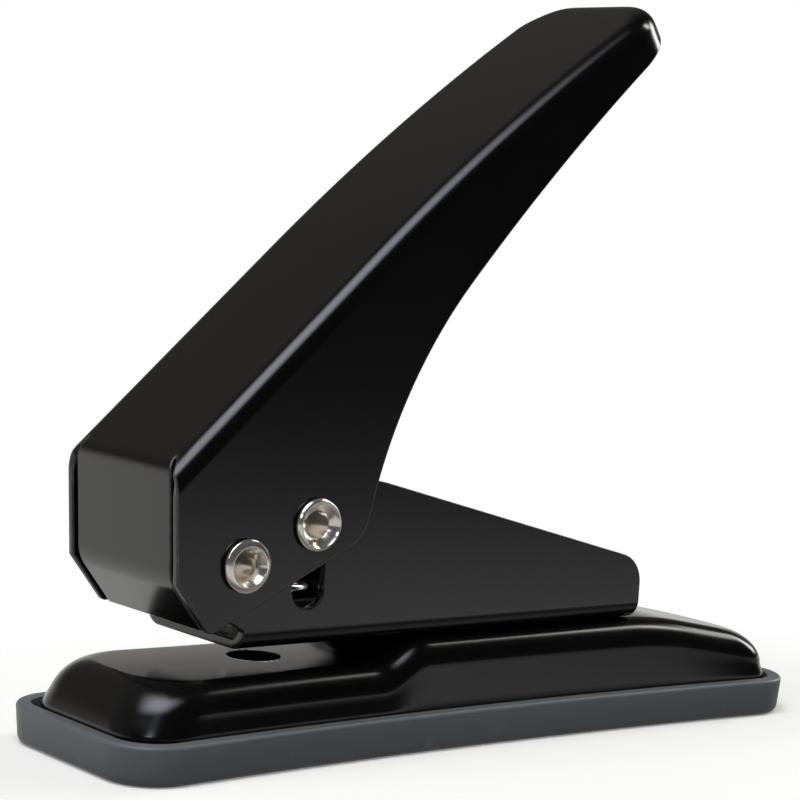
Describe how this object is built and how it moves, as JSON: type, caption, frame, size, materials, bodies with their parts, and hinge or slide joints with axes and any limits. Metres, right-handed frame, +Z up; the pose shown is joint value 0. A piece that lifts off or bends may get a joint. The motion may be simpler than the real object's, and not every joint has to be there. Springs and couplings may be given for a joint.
{
  "type": "single hole punch",
  "caption": "Desk hole punch: a pressed lever on a riveted channel frame drives a sprung round punch through the base into a pull-off chip tray.",
  "frame": {"origin": "middle of the chip tray's underside, on the surface that the punch stands on", "axes": "+X along the base towards the rear, under the raised handle; +Y across it; +Z up"},
  "size_m": [0.105, 0.0306, 0.0915],
  "materials": {
    "black_paint": "gloss",
    "nickel": "polished",
    "steel": "ground",
    "tray_plastic": "satin"
  },
  "bodies": {
    "base": {"base_plate": "black_paint", "die_plate": "steel", "frame": "black_paint", "frame_rivets": "steel", "guide_bush": "steel", "pivot_rivet": "nickel", "pivot_sleeve": "steel", "return_spring": "steel"},
    "lever": {"lever": "black_paint", "drive_rivet": "nickel"},
    "punch": {"punch": "steel", "spring_clip": "steel"},
    "tray": {"chip_tray": "tray_plastic"}
  },
  "joints": [
    {"name": "lever_press", "type": "hinge", "parent": "base", "child": "lever", "pos_m": [-0.03671, 0, 0.0238], "axis": [0, 1, 0], "range_deg": [0, 34], "stiffness_Nm_per_rad": 0.16, "springref_deg": -20.05},
    {"name": "punch_slide", "type": "slide", "parent": "base", "child": "punch", "axis": [0, 0, -1], "range_m": [0, 0.00614], "deforming": ["return_spring"]},
    {"name": "tray_pull", "type": "slide", "parent": "base", "child": "tray", "axis": [0, 0, -1], "range_m": [0, 0.015]}
  ],
  "couplings": [
    {"joint": "punch_slide", "follows": "lever_press", "m_per_rad": 0.010333}
  ]
}
